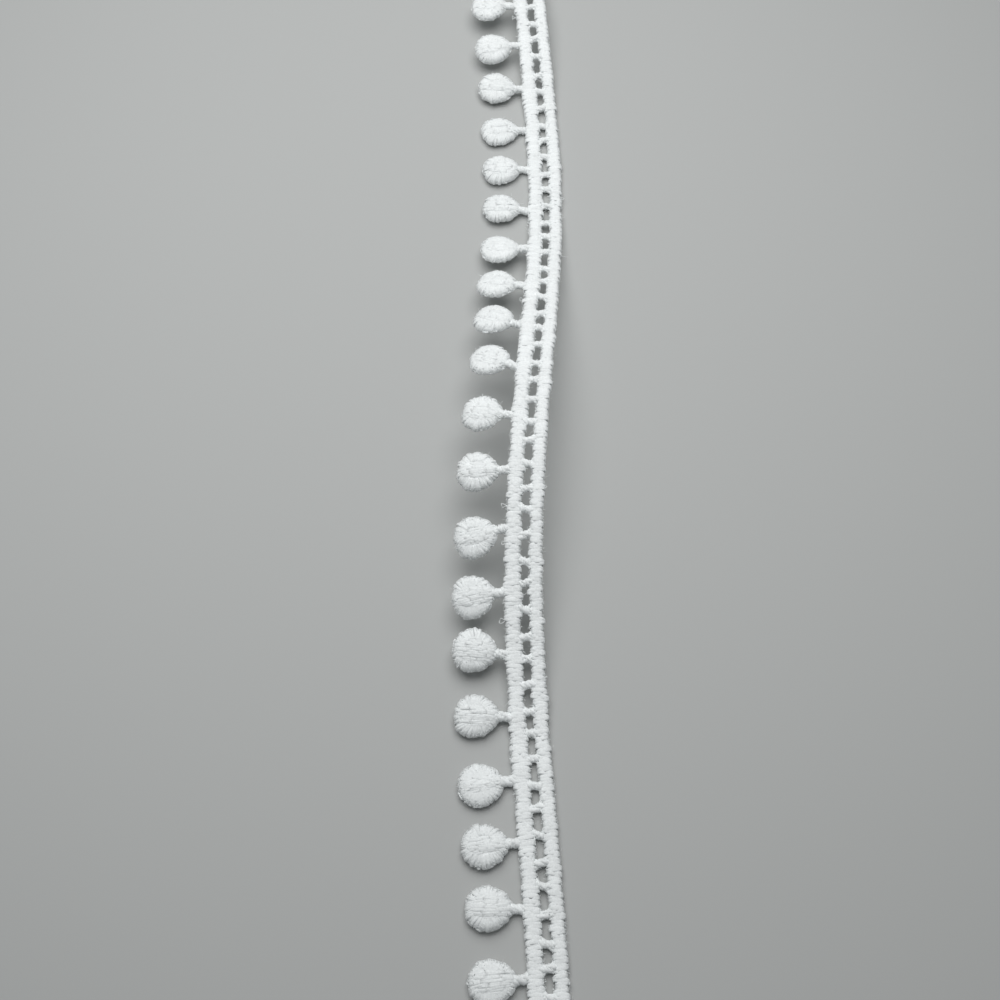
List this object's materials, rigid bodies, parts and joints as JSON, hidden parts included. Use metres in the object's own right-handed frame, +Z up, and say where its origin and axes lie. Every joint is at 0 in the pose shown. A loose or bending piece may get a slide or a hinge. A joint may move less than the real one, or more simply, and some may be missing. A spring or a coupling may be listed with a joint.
{
  "type": "lace trim",
  "caption": "Narrow white embroidered lace trim laid out flat: a ladder heading of satin-stitched bars with a row of padded round dots on short necks, for edging cloth.",
  "frame": {"origin": "middle of the trim's box, on the surface that it lies on", "axes": "+Y along the trim, +Z up from the surface, dots towards -X and the sewn edge towards +X"},
  "size_m": [0.0194, 0.3003, 0.0105],
  "materials": {
    "thread": "white polyester thread in close satin stitches, matte with a soft sheen"
  },
  "bodies": {
    "root": {"lace_trim": "thread"}
  },
  "joints": []
}
